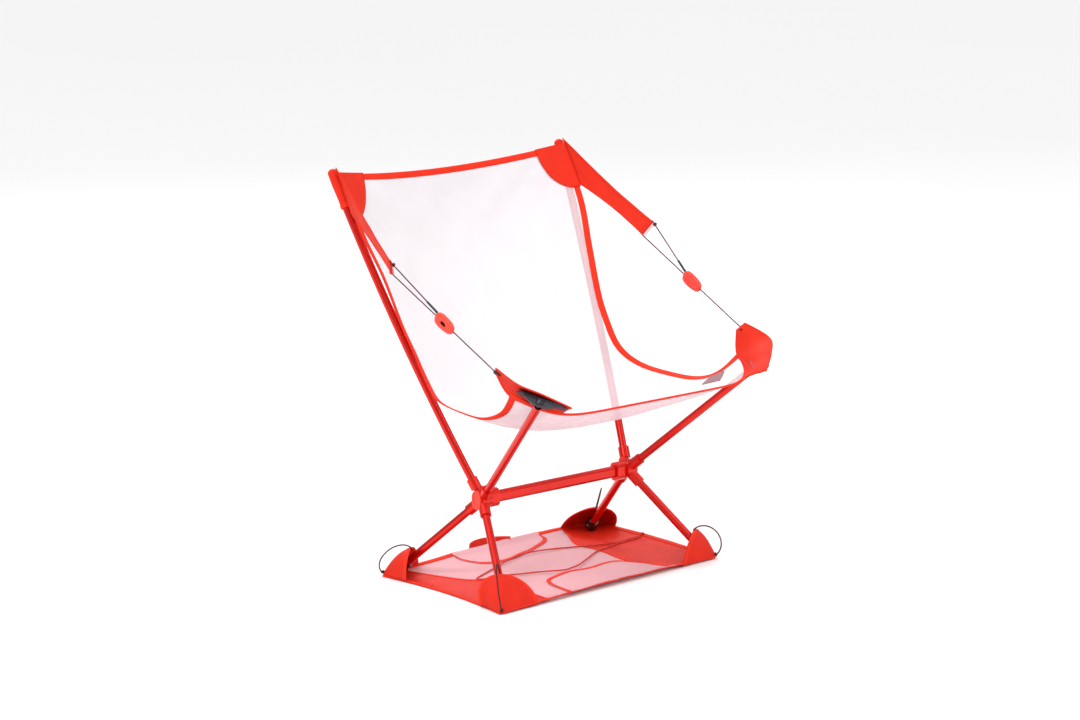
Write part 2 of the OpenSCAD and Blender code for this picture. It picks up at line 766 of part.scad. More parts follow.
crossbar();
hub_body(RIGHT);  // hub_body_right
hub_body(LEFT);  // hub_body_left
hub_caps();
pivot_pins();
seat_pole(RIGHT);  // seat_pole_right
seat_pole(LEFT);  // seat_pole_left
seat_ball_tips();
corner_plate(RIGHT);  // corner_plate_right
corner_plate(LEFT);  // corner_plate_left
leg(RIGHT, front_foot);  // front_leg_right
leg(LEFT, front_foot);  // front_leg_left
leg(RIGHT, rear_foot);  // rear_leg_right
leg(LEFT, rear_foot);  // rear_leg_left
feet(front_foot);  // front_feet
feet(rear_foot);  // rear_feet
base_shock_cords();
back_knuckle(RIGHT);  // back_knuckle_right
back_knuckle(LEFT);  // back_knuckle_left
back_pole_lower(RIGHT);  // back_pole_lower_right
back_pole_lower(LEFT);  // back_pole_lower_left
back_pole_upper(RIGHT);  // back_pole_upper_right
back_pole_upper(LEFT);  // back_pole_upper_left
back_ferrules();
back_tip_caps();
back_shock_cords();
sling_back();
sling_bend();
sling_seat();
side_binding_back();
side_binding_bend();
side_binding_seat();
top_binding();
front_hem();
back_corner(RIGHT);  // back_corner_right
back_corner(LEFT);  // back_corner_left
seat_corner(RIGHT);  // seat_corner_right
seat_corner(LEFT);  // seat_corner_left
side_tag();
arm_strap(RIGHT);  // arm_strap_right
arm_strap(LEFT);  // arm_strap_left
upper_cords();
lower_cords();
adjuster(RIGHT);  // adjuster_right
adjuster(LEFT);  // adjuster_left
cord_sleeve(RIGHT);  // cord_sleeve_right
cord_sleeve(LEFT);  // cord_sleeve_left
footprint_mesh();
footprint_panel(near_seam, -1);  // footprint_panel_right
footprint_panel(far_seam, 1);  // footprint_panel_left
footprint_binding();
wing(front_wing_edge);  // front_wing
wing(rear_wing_edge);  // rear_wing
carry_handle();
drawcord();
toe_pocket(corners[0]);  // toe_pocket_front_left
toe_pocket(corners[1]);  // toe_pocket_front_right
toe_pocket(corners[2]);  // toe_pocket_rear_left
toe_pocket(corners[3]);  // toe_pocket_rear_right
elastic_loops();
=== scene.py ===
"""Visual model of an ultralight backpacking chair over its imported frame."""
import math

import bpy
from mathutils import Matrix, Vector, noise


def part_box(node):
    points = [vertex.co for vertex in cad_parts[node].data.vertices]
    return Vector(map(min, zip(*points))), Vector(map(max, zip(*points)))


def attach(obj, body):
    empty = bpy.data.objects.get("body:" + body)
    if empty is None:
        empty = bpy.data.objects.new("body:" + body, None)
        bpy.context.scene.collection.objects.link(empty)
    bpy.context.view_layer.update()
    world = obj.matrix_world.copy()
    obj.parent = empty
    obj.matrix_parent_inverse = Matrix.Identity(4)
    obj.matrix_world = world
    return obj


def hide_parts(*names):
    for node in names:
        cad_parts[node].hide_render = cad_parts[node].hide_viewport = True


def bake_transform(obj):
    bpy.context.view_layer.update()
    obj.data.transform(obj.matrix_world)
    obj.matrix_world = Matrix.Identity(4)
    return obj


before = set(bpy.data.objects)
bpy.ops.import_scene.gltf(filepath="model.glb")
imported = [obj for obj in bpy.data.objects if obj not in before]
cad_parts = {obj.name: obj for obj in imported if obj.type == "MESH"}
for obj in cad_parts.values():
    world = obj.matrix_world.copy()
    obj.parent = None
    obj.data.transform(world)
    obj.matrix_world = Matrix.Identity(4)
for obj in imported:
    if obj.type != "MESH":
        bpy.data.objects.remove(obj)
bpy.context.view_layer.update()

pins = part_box("pivot_pins")
HUB_Y = (pins[0].y + pins[1].y) / 2
HUB_Z = (pins[0].z + pins[1].z) / 2
HUB_X = 161.5
LEFT, RIGHT = 1, -1
SIDES = ((LEFT, "left"), (RIGHT, "right"))


# ---- Places and curves: millimetres from the hub axis in, metres in the row frame out ----
def at(x, y, z, side=LEFT):
    return Vector((side * x, y, z)) * 0.001 + Vector((0, HUB_Y, 0))


def mix(a, b, t):
    return a + (b - a) * t


def ramp(t, a, b):
    t = min(max((t - a) / (b - a), 0), 1)
    return t * t * (3 - 2 * t)


def steps(a, b, n):
    return [mix(a, b, i / n) for i in range(n + 1)]


def turn(n):
    """Angles of n equal steps round a circle."""
    return steps(0, 2 * math.pi, n)[:-1]


def spline(points, t):
    last = len(points) - 1
    i = max(0, min(int(math.floor(t)), last - 1))
    f = t - i
    a, b, c, d = (points[k] for k in (max(i - 1, 0), i, i + 1, min(i + 2, last)))

    def one(a, b, c, d):
        return 0.5 * (2 * b + (c - a) * f + (2 * a - 5 * b + 4 * c - d) * f * f
                      + (3 * b - a - 3 * c + d) * f ** 3)

    if isinstance(b, (int, float)):
        return one(a, b, c, d)
    return Vector([one(*k) for k in zip(a, b, c, d)])


def ripple(p, scale, seed=0.0):
    return noise.noise(Vector((p[0] * scale + seed, p[1] * scale - seed, p[2] * scale)))


# ---- Camera ----
AZ, EL = math.radians(-42.88), math.radians(11.27)
cam_right = Vector((math.cos(AZ), math.sin(AZ), 0))
cam_back = Vector((math.sin(AZ) * math.cos(EL), -math.cos(AZ) * math.cos(EL), math.sin(EL)))
cam_up = cam_back.cross(cam_right)
camera = bpy.data.objects.new("camera", bpy.data.cameras.new("camera"))
bpy.context.collection.objects.link(camera)
camera.data.lens, camera.data.sensor_width = 135, 36
camera.data.clip_end = 200
camera.location = Vector((0, HUB_Y, 0.3)) - cam_right * 0.026 + cam_up * 0.0454 + cam_back * 6.571
camera.rotation_euler = cam_back.to_track_quat("Z", "Y").to_euler()
bpy.context.scene.camera = camera
bpy.context.scene.view_settings.view_transform = "Standard"


# ---- Materials ----
class Graph:
    """Short names for building one node material."""

    def __init__(self, name):
        self.mat = bpy.data.materials.new(name)
        self.mat.use_nodes = True
        self.tree = self.mat.node_tree
        self.shader = self.tree.nodes["Principled BSDF"]

    def node(self, kind, **values):
        n = self.tree.nodes.new(kind)
        for key, value in values.items():
            setattr(n, key, value)
        return n

    def link(self, a, b):
        self.tree.links.new(a, b)

    def math(self, op, a, b=None, c=None):
        n = self.node("ShaderNodeMath", operation=op)
        for k, v in enumerate((a, b, c)):
            if v is None:
                continue
            if isinstance(v, (int, float)):
                n.inputs[k].default_value = v
            else:
                self.link(v, n.inputs[k])
        return n.outputs[0]

    def object_place(self):
        return self.node("ShaderNodeTexCoord").outputs["Object"]

    def cloth_place(self):
        n = self.node("ShaderNodeUVMap", uv_map="cloth")
        split = self.node("ShaderNodeSeparateXYZ")
        self.link(n.outputs[0], split.inputs[0])
        return n.outputs[0], split.outputs[0], split.outputs[1]

    def noise(self, place, scale, detail=3.0, rough=0.5):
        n = self.node("ShaderNodeTexNoise")
        n.inputs["Scale"].default_value = scale
        n.inputs["Detail"].default_value = detail
        n.inputs["Roughness"].default_value = rough
        self.link(place, n.inputs["Vector"])
        return n.outputs["Fac"]

    def blend(self, factor, a, b):
        n = self.node("ShaderNodeMix", data_type="RGBA")
        self.link(factor, n.inputs[0])
        for socket, v in ((n.inputs[6], a), (n.inputs[7], b)):
            if isinstance(v, tuple):
                socket.default_value = (*v, 1)
            else:
                self.link(v, socket)
        return n.outputs[2]

    def span(self, value, a, b, c, d):
        n = self.node("ShaderNodeMapRange")
        for k, v in enumerate((a, b, c, d), 1):
            n.inputs[k].default_value = v
        self.link(value, n.inputs[0])
        return n.outputs[0]

    def bump(self, height, distance, strength=0.6):
        n = self.node("ShaderNodeBump")
        n.inputs["Strength"].default_value = strength
        n.inputs["Distance"].default_value = distance
        self.link(height, n.inputs["Height"])
        self.link(n.outputs[0], self.shader.inputs["Normal"])

    def set(self, **values):
        for key, value in values.items():
            socket = self.shader.inputs[key.replace("_", " ")]
            if hasattr(value, "links"):
                self.link(value, socket)
            else:
                socket.default_value = value


def srgb(r, g, b):
    return tuple(
        (c / 255 / 12.92) if c <= 10 else ((c / 255 + 0.055) / 1.055) ** 2.4 for c in (r, g, b)
    )


def scaled(colour, k):
    return tuple(min(c * k, 1.0) for c in colour)


def wave(g, place, pitch):
    """A sine along one cloth direction, one turn for each pitch in metres."""
    return g.math("SINE", g.math("MULTIPLY", place, 2 * math.pi / pitch))


def open_mesh(name, colour, pitch, thread, gap):
    """See-through knitted mesh: square holes between lighter threads, with painted shade darkening
    the holes.
    """
    g = Graph(name)
    place, u, v = g.cloth_place()
    hole = g.math("MINIMUM", wave(g, u, pitch), wave(g, v, pitch * 0.8))
    hole = g.span(hole, -0.45, -0.05, 0, 1)
    tone = g.noise(place, 14, 2)
    threads = g.blend(g.span(tone, 0.3, 0.7, 0, 1), scaled(colour, 0.95), scaled(colour, 1.03))
    g.set(
        # The holes take a darker colour (x0.88): painted shade in the sunk openings of the knit
        Base_Color=g.blend(hole, threads, scaled(colour, 0.88)),
        Alpha=g.span(hole, 0, 1, thread, gap),
        Roughness=g.span(tone, 0.2, 0.8, 0.62, 0.78),
        Specular_IOR_Level=0.15,
    )
    g.bump(g.math("SUBTRACT", 1, hole), 0.0003, 0.5)
    return g.mat


def woven(name, colour, pitch=0.0009, rough=0.55):
    """Coated plain-weave nylon with a faint ripstop grid."""
    g = Graph(name)
    place, u, v = g.cloth_place()
    weave = g.math("MULTIPLY", wave(g, u, pitch), wave(g, v, pitch))
    grid = g.math("MAXIMUM", wave(g, u, 0.006), wave(g, v, 0.006))
    grid = g.span(grid, 0.93, 0.99, 0, 1)
    tone = g.noise(place, 22, 4)
    worn = g.noise(place, 160, 2)
    base = g.blend(g.span(tone, 0.3, 0.7, 0, 1), scaled(colour, 0.86), scaled(colour, 1.05))
    base = g.blend(g.math("MULTIPLY", grid, 0.35), base, scaled(colour, 0.8))
    g.set(
        Base_Color=base,
        Roughness=g.span(worn, 0.3, 0.7, rough - 0.05, rough + 0.08),
        Specular_IOR_Level=0.14,
    )
    height = g.math("MULTIPLY_ADD", weave, 0.5, g.math("MULTIPLY", grid, 0.8))
    g.bump(g.math("MULTIPLY_ADD", worn, 0.6, height), 0.00022, 0.5)
    return g.mat


def taped(name, colour, width, stitch=0.0018, rib=0.0011):
    """Grosgrain tape: ribs across it and a row of stitches near each edge."""
    g = Graph(name)
    place, u, v = g.cloth_place()
    ribs = wave(g, u, rib)
    middle = g.math("ABSOLUTE", g.math("SUBTRACT", v, width / 2))
    row = g.math("ABSOLUTE", g.math("SUBTRACT", middle, width / 2 - stitch))
    row = g.span(row, 0.00025, 0.00055, 1, 0)
    dash = g.span(wave(g, u, 0.0034), -0.5, 0.1, 0, 1)
    thread = g.math("MULTIPLY", row, dash)
    tone = g.noise(place, 40, 3)
    base = g.blend(g.span(tone, 0.3, 0.7, 0, 1), scaled(colour, 0.88), scaled(colour, 1.06))
    # Darker band along each stitch row: painted shade in the sunk stitch line
    base = g.blend(g.math("MULTIPLY", row, 0.5), base, scaled(colour, 0.7))
    g.set(
        Base_Color=g.blend(thread, base, scaled(colour, 1.15)),
        Roughness=g.span(tone, 0.3, 0.7, 0.6, 0.75),
        Specular_IOR_Level=0.12,
    )
    height = g.math("MULTIPLY_ADD", ribs, 0.3, g.math("MULTIPLY", thread, 1.5))
    height = g.math("SUBTRACT", height, g.math("MULTIPLY", row, 0.8))
    g.bump(height, 0.00025, 0.6)
    return g.mat


def braided(name, colour, fleck, pitch=0.0022):
    """Braided cord: two sets of strands crossing on the slant."""
    g = Graph(name)
    place, u, v = g.cloth_place()
    one = wave(g, g.math("ADD", u, v), pitch)
    two = wave(g, g.math("SUBTRACT", u, v), pitch)
    braid = g.math("MAXIMUM", one, two)
    tone = g.noise(place, 300, 2)
    # Darker (x0.6) where the braid is low: painted shade in the grooves between strands
    base = g.blend(g.span(braid, -0.2, 0.9, 0, 1), scaled(colour, 0.6), colour)
    g.set(
        Base_Color=g.blend(g.span(tone, 0.62, 0.7, 0, 0.6), base, fleck),
        Roughness=g.span(tone, 0.2, 0.8, 0.55, 0.7),
        Specular_IOR_Level=0.2,
    )
    g.bump(braid, 0.0002, 0.7)
    return g.mat


def anodised(name, colour, rough=0.3):
    """Dyed anodised aluminium with a fine satin grain and faint rub marks."""
    g = Graph(name)
    place = g.object_place()
    grain, rub, tone = g.noise(place, 2600, 2), g.noise(place, 90, 5, 0.65), g.noise(place, 9, 2)
    base = g.blend(g.span(tone, 0.3, 0.7, 0, 1), scaled(colour, 0.93), scaled(colour, 1.05))
    marks = g.span(rub, 0.66, 0.8, 0, 0.35)
    g.set(
        Base_Color=g.blend(marks, base, scaled(colour, 1.3)),
        Roughness=g.math("MULTIPLY_ADD", grain, 0.16, rough - 0.08),
        Metallic=0.85,
        Coat_Weight=0.3,
        Coat_Roughness=0.12,
    )
    g.bump(grain, 0.00003, 0.35)
    return g.mat


def moulded(name, colour, rough, coat=0.0, grain=1500.0):
    """Moulded plastic with a faint spark-eroded texture."""
    g = Graph(name)
    place = g.object_place()
    fine, tone = g.noise(place, grain, 2), g.noise(place, 30, 3)
    g.set(
        Base_Color=g.blend(
            g.span(tone, 0.3, 0.7, 0, 1), scaled(colour, 0.9), scaled(colour, 1.08)
        ),
        Roughness=g.math("MULTIPLY_ADD", fine, 0.12, rough - 0.06),
        Coat_Weight=coat,
        Coat_Roughness=0.08,
    )
    g.bump(fine, 0.00005, 0.3)
    return g.mat


RED = srgb(224, 44, 22)
TAPE = srgb(230, 50, 28)
SLING_IN = srgb(226, 228, 233)
SLING_OUT = srgb(246, 178, 184)
BASE_PINK = srgb(240, 186, 192)

tube_metal = anodised("anodised_tube", srgb(214, 34, 24), 0.24)
hub_metal = anodised("anodised_hub", srgb(222, 38, 26), 0.3)
coral = moulded("coral_plastic", srgb(232, 58, 40), 0.42)
navy = moulded("navy_plastic", srgb(18, 28, 42), 0.45)
black = moulded("black_plastic", srgb(16, 12, 12), 0.16, 0.6, 900)
steel = anodised("bare_steel", srgb(176, 176, 178), 0.28)
aluminium = anodised("bare_aluminium", srgb(198, 198, 200), 0.34)
elastic_white = moulded("shock_cord", srgb(228, 226, 222), 0.6, 0.0, 2200)
inner_mesh = open_mesh("sling_mesh_inside", SLING_IN, 0.0021, 0.72, 0.3)
outer_mesh = open_mesh("sling_mesh_outside", SLING_OUT, 0.0021, 0.42, 0.06)
base_mesh = open_mesh("footprint_mesh", BASE_PINK, 0.0021, 0.92, 0.45)
red_cloth = woven("red_fabric", RED)
floor_cloth = woven("red_fabric_floor", srgb(220, 40, 20), 0.0011, 0.5)
edge_tape = taped("red_binding", TAPE, 0.011)
floor_tape = taped("red_binding_floor", TAPE, 0.009)
webbing = taped("red_webbing", srgb(226, 52, 34), 0.013, 0.0015, 0.0017)
tag_cloth = woven("tag_fabric", srgb(160, 122, 130), 0.0007, 0.6)
dark_cord = braided("dark_cord", srgb(96, 34, 36), srgb(40, 16, 18))
red_cord = braided("red_cord", srgb(224, 62, 48), srgb(240, 150, 130))
loop_cord = braided("elastic_cord", srgb(82, 34, 34), srgb(120, 60, 56))

CAD_FINISH = {
    "crossbar": tube_metal, "hub_body_right": hub_metal, "hub_body_left": hub_metal,
    "hub_caps": coral, "pivot_pins": steel, "seat_ball_tips": black,
    "corner_plate_right": navy, "corner_plate_left": navy,
    "front_feet": black, "rear_feet": black,
    "back_knuckle_right": hub_metal, "back_knuckle_left": hub_metal,
    "back_ferrules": aluminium, "back_tip_caps": hub_metal,
    "base_shock_cords": elastic_white, "back_shock_cords": elastic_white,
    "cord_sleeve_right": navy, "cord_sleeve_left": navy,
}
for _, side in SIDES:
    for pole in ("seat_pole_", "front_leg_", "rear_leg_", "back_pole_lower_", "back_pole_upper_"):
        CAD_FINISH[pole + side] = tube_metal
for node, material in CAD_FINISH.items():
    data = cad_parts[node].data
    data.materials.clear()
    data.materials.append(material)
    for face in data.polygons:
        face.material_index = 0


# ---- Mesh makers ----
def made(name, points, faces, uvs, materials, indices=None):
    data = bpy.data.meshes.new(name)
    data.from_pydata([tuple(p) for p in points], [], faces)
    layer = data.uv_layers.new(name="cloth")
    for loop in data.loops:
        layer.data[loop.index].uv = uvs[loop.vertex_index]
    for material in materials:
        data.materials.append(material)
    for k, face in enumerate(data.polygons):
        face.use_smooth = True
        if indices:
            face.material_index = indices[k]
    piece = bpy.data.objects.new(name, data)
    bpy.context.collection.objects.link(piece)
    return piece


def grid_normals(grid, flip):
    rows, cols = len(grid), len(grid[0])
    out, spare = [], Vector((0, 0, 1))
    for i in range(rows):
        line = []
        for j in range(cols):
            across = grid[i][min(j + 1, cols - 1)] - grid[i][max(j - 1, 0)]
            down = grid[min(i + 1, rows - 1)][j] - grid[max(i - 1, 0)][j]
            n = across.cross(down)
            n = n.normalized() if n.length > 1e-12 else spare
            spare = n
            line.append(-n if flip else n)
        out.append(line)
    return out


def cloth(name, grid, thick, materials, normal=None, flip=False, middle=0.0):
    """Closed sheet over a grid of points; materials are the upper, lower and rim ones."""
    rows, cols = len(grid), len(grid[0])
    normals = [[normal] * cols for _ in grid] if normal else grid_normals(grid, flip)
    half = cols // 2
    down = [0.0]
    for i in range(1, rows):
        down.append(down[-1] + (grid[i][half] - grid[i - 1][half]).length)
    points, uvs = [], []
    for offset in (middle + thick / 2, middle - thick / 2):
        for i in range(rows):
            across = [0.0]
            for j in range(1, cols):
                across.append(across[-1] + (grid[i][j] - grid[i][j - 1]).length)
            for j in range(cols):
                points.append(grid[i][j] + normals[i][j] * offset)
                uvs.append((across[j] - across[half], down[i]))
    n = rows * cols
    faces, kinds = [], []
    for i in range(rows - 1):
        for j in range(cols - 1):
            a = i * cols + j
            quad = (a, a + cols, a + cols + 1, a + 1)
            if not flip:
                quad = quad[::-1]
            faces.append(quad[::-1])
            faces.append(tuple(k + n for k in quad))
            kinds += [0, 1]
    loop = [j for j in range(cols)] + [i * cols + cols - 1 for i in range(1, rows)]
    loop += [(rows - 1) * cols + j for j in range(cols - 2, -1, -1)]
    loop += [i * cols for i in range(rows - 2, 0, -1)]
    for k, a in enumerate(loop):
        b = loop[(k + 1) % len(loop)]
        quad = (a, b, b + n, a + n)
        faces.append(quad if not flip else quad[::-1])
        kinds.append(2)
    last = len(materials) - 1
    return made(name, points, faces, uvs, materials, [min(k, last) for k in kinds])


def lengths(points):
    out = [0.0]
    for a, b in zip(points, points[1:]):
        out.append(out[-1] + (b - a).length)
    return out


def sweep(name, points, axes, shape, material, closed=False):
    """Carries a section of (x, y, v) points along a line; axes gives x and y at each point."""
    n, m = len(points), len(shape)
    along = lengths(points)
    verts, uvs, faces = [], [], []
    for p, (ax, ay), s in zip(points, axes, along):
        for x, y, v in shape:
            verts.append(p + ax * x + ay * y)
            uvs.append((s, v))
    for i in range(n if closed else n - 1):
        k = (i + 1) % n
        for j in range(m):
            h = (j + 1) % m
            faces.append((i * m + j, i * m + h, k * m + h, k * m + j))
    if not closed:
        faces.append(tuple(range(m - 1, -1, -1)))
        faces.append(tuple((n - 1) * m + j for j in range(m)))
    return made(name, verts, faces, uvs, [material])


def turned_axes(points):
    """Axes across a line that turn with it and never twist."""
    out, x = [], None
    for i, p in enumerate(points):
        d = (points[min(i + 1, len(points) - 1)] - points[max(i - 1, 0)]).normalized()
        if x is None:
            x = d.orthogonal().normalized()
        x = (x - d * x.dot(d)).normalized()
        out.append((x, d.cross(x)))
    return out


def oval_section(rx, ry, sides):
    return [(rx * math.cos(a), ry * math.sin(a), rx * a) for a in turn(sides)]


def tube(name, points, r, material, sides):
    return sweep(name, points, turned_axes(points), oval_section(r, r, sides), material)


def tape_section(width, thick):
    """Flat section with round edges, from its outer edge at x = 0 to its inner one."""
    out, r = [], thick / 2
    for a in steps(-90, 90, 4):
        out.append((width - r + r * math.cos(math.radians(a)), r * math.sin(math.radians(a))))
    for a in steps(90, 270, 4):
        out.append((r + r * math.cos(math.radians(a)), r * math.sin(math.radians(a))))
    return [(x, y, x) for x, y in out]


def edge_axes(rows, pick, other, flip):
    """Inward and upward axes along one edge column of a grid, for a hem swept along it."""
    return [
        ((row[other] - row[pick]).normalized(), normals[pick])
        for row, normals in zip(rows, grid_normals(rows, flip))
    ]


def joined(name, *objs):
    """Makes one mesh of several, so that they move as one piece."""
    for o in bpy.context.selected_objects:
        o.select_set(False)
    for o in objs:
        o.select_set(True)
    bpy.context.view_layer.objects.active = objs[0]
    bpy.ops.object.join()
    objs[0].name = objs[0].data.name = name
    return objs[0]


def knot(name, centre, across, r, material, size):
    """Small overhand knot: a trefoil of cord."""
    x = across.normalized()
    y = x.orthogonal().normalized()
    z = x.cross(y)
    line = []
    for a in turn(60):
        line.append(centre + size * (
            x * (math.sin(a) + 2 * math.sin(2 * a)) * 0.33
            + y * (math.cos(a) - 2 * math.cos(2 * a)) * 0.33
            - z * math.sin(3 * a) * 0.42
        ))
    return sweep(name, line, turned_axes(line), oval_section(r, r, 8), material, closed=True)


# ---- Footprint drawcord ----
DRAWCORD = [
    (244, 52, 3.5), (214, 50, 3.2), (181, 47, 3.2), (137, 59, 3.4), (85, 78, 4.2), (45, 87, 5.2),
    (9, 87, 5.6), (-30, 77, 5.2), (-67, 63, 4), (-110, 45, 3.2), (-147, 28, 3.2),
    (-153, 21, 3.2), (-147, 15, 3.2), (-128, 13, 3.2), (-108, 11, 3.2), (-80, -2, 3.6),
    (-50, -18, 5), (-17, -38, 6), (0, -36, 6), (25, -28, 5.4), (70, -2, 4), (119, 25, 3.2),
    (181, 40, 3.2), (214, 43, 3.2), (243, 47, 3.5),
]
route = [at(*spline(DRAWCORD, t)) for t in steps(0, len(DRAWCORD) - 1, 480)]
drawcord = tube("drawcord_lacing", route, 0.00125, red_cord, 10)
drawcord_knot = knot(
    "drawcord_knot", at(246, 49.5, 6.1), Vector((0.3, 1, 0)), 0.0012, red_cord, 0.0036
)
for piece in (drawcord, drawcord_knot):
    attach(piece, "root")
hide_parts("drawcord")

# ---- Sling ----
SIDE_EDGE = [
    (248, 246, 650), (247, 197, 563), (232, 159, 488), (222, 127, 415), (217, 102, 373),
    (217, 72, 331), (228, 31, 306), (236, -40, 298), (241, -92, 300), (243, -134, 317),
    (254, -169, 353),
]
MIDDLE = [
    (272, 632), (255, 548), (230, 474), (201, 404), (166, 340), (118, 286), (60, 257),
    (-20, 246), (-88, 253), (-156, 279), (-241, 319),
]
FULLNESS = [2, 2, 2, 2, 2, 2, 2, 2.2, 2.6, 4, 9]
ROWS = 10
TAPE_U = 11 / 240
TAPE_T = 11 / 90
FOLD_START, FOLD_END = (4.2, 6.0)


def sling_point(u, t):
    e, c = spline(SIDE_EDGE, t), spline(MIDDLE, t)
    s = abs(u) ** spline(FULLNESS, t)
    return at(e[0] * u, mix(c[0], e[1], s), mix(c[1], e[2], s))


def sling_normal(u, t):
    a, b = min(u + 0.01, 1), max(u - 0.01, -1)
    c, d = min(t + 0.03, ROWS), max(t - 0.03, 0)
    return (sling_point(a, t) - sling_point(b, t)).cross(
        sling_point(u, c) - sling_point(u, d)
    ).normalized()


def sling_drape(u, t):
    """Shallow tension folds that run in from the corners."""
    edge = 1 - abs(u)
    pull = math.exp(-t / 1.1) + 0.8 * math.exp(-(ROWS - t) / 0.9)
    fan = math.atan2(edge * 2.4, min(t, ROWS - t) + 0.25)
    fade = ramp(edge, 0.03, 0.2) * ramp(t, 0.1, 0.6) * ramp(ROWS - t, 0.15, 0.7)
    return fade * (0.0016 * pull * math.sin(fan * 17) + 0.0008 * ripple((u, t * 0.4, 0), 3.0))


sling_grid = [
    [
        sling_point(u, t) + sling_normal(u, t) * sling_drape(u, t)
        for u in steps(-0.985, 0.985, 72)
    ]
    for t in steps(0.05, ROWS - 0.05, 170)
]
sling = cloth("sling_mesh_sheet", sling_grid, 0.0007, [outer_mesh, inner_mesh, inner_mesh])

tape_pieces = []
for side, word in SIDES:
    line = [sling_point(side, t) for t in steps(0, ROWS, 220)]
    axes = []
    for t in steps(0, ROWS, 220):
        inward = (sling_point(side * 0.955, t) - sling_point(side, t)).normalized()
        axes.append((inward, sling_normal(side * 0.98, t)))
    tape_pieces.append(
        sweep("side_binding_tape_" + word, line, axes, tape_section(0.011, 0.0023), edge_tape)
    )


def cross_tape(name, t0, inward_t):
    line = [sling_point(u, t0) for u in steps(-1, 1, 110)]
    axes = []
    for u in steps(-1, 1, 110):
        axes.append((
            (sling_point(u, inward_t) - sling_point(u, t0)).normalized(),
            sling_normal(u, t0),
        ))
    return sweep(name, line, axes, tape_section(0.011, 0.0023), edge_tape)


top_tape = cross_tape("top_binding_tape", 0, TAPE_T)
front_tape = cross_tape("front_hem_tape", ROWS, ROWS - TAPE_T)

fold_a = sling_point(0, FOLD_END)
fold_b = sling_point(0, FOLD_START)
for piece in (sling, *tape_pieces):
    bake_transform(piece)
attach(top_tape, "back")
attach(front_tape, "root")
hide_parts("sling_back", "sling_bend", "sling_seat")
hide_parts("side_binding_back", "side_binding_bend", "side_binding_seat")
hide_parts("top_binding")
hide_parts("front_hem")

# ---- Back pole arc, for the corner pockets ----
BEND = math.radians(7)
POLE_SNUG = 0.0078
hub_point = at(HUB_X, 0, 0) + Vector((0, 0, HUB_Z))
back_tip = at(250, 262, 652)
chord = back_tip - hub_point
chord_dir = chord.normalized()
hint = Vector((1, 0.4, 0))
bow = (hint - chord_dir * hint.dot(chord_dir)).normalized()
arc_r = chord.length / (2 * math.sin(BEND / 2))
arc_centre = hub_point + chord / 2 - bow * arc_r * math.cos(BEND / 2)
arc_u = (hub_point - arc_centre).normalized()
arc_n = arc_u.cross(chord).normalized()
arc_t = arc_n.cross(arc_u)


def arc_point(s):
    a = BEND - s / arc_r
    return arc_centre + arc_r * (math.cos(a) * arc_u + math.sin(a) * arc_t)


def mirrored(p, side):
    return Vector((p.x * side, p.y, p.z))


for side, word in SIDES:
    # Rounded patch over both faces of the sling's corner
    rows = []
    for t in steps(-0.02, 0.8, 22):
        reach = 0.23 * math.sqrt(max(1 - (max(t, 0) / 0.82) ** 2.4, 0.0004))
        rows.append([sling_point(side * u, t) for u in steps(1 - reach, 1.006, 14)])
    inner = cloth(
        "patch_in", rows, 0.0011, [red_cloth], flip=side == RIGHT, middle=-0.0019
    )
    outer = cloth(
        "patch_out", rows, 0.0011, [red_cloth], flip=side == RIGHT, middle=0.0019
    )
    # Pocket of fabric round the pole, closed over its tip
    ring, line, axes, sizes = 22, [], [], []
    for s in steps(-0.003, 0.064, 26):
        line.append(arc_point(s))
        snug = mix(POLE_SNUG, 0.0074, max(s - 0.05, 0) / 0.014)
        sizes.append(snug * math.sqrt(max(1 - max(-s + 0.0005, 0) / 0.0042, 0.05)))
    line = [mirrored(p, side) for p in line]
    axes = turned_axes(line)
    points, uvs, faces = [], [], []
    for i, (p, (ax, ay), r) in enumerate(zip(line, axes, sizes)):
        for j in range(ring):
            a = 2 * math.pi * j / ring
            pucker = 1 + 0.035 * math.sin(3 * a + i * 0.35)
            points.append(p + (ax * math.cos(a) + ay * math.sin(a)) * r * pucker)
            uvs.append((r * a, i * 0.0026))
    for i in range(len(line) - 1):
        for j in range(ring):
            h = (j + 1) % ring
            faces.append((i * ring + j, i * ring + h, (i + 1) * ring + h, (i + 1) * ring + j))
    faces.append(tuple(range(ring - 1, -1, -1)))
    pocket = made("pocket", points, faces, uvs, [red_cloth])
    ax, ay = axes[-1]
    up_pole = (line[-2] - line[-1]).normalized()
    spokes = [ax * math.cos(a) + ay * math.sin(a) for a in turn(26)]
    mouth = sweep(
        "mouth", [line[-1] + spoke * POLE_SNUG for spoke in spokes],
        [(up_pole, spoke) for spoke in spokes],
        tape_section(0.007, 0.0016), edge_tape, closed=True,
    )
    corner = joined("back_corner_fabric_" + word, inner, outer, pocket, mouth)
    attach(corner, "back")
    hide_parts("back_corner_" + word)

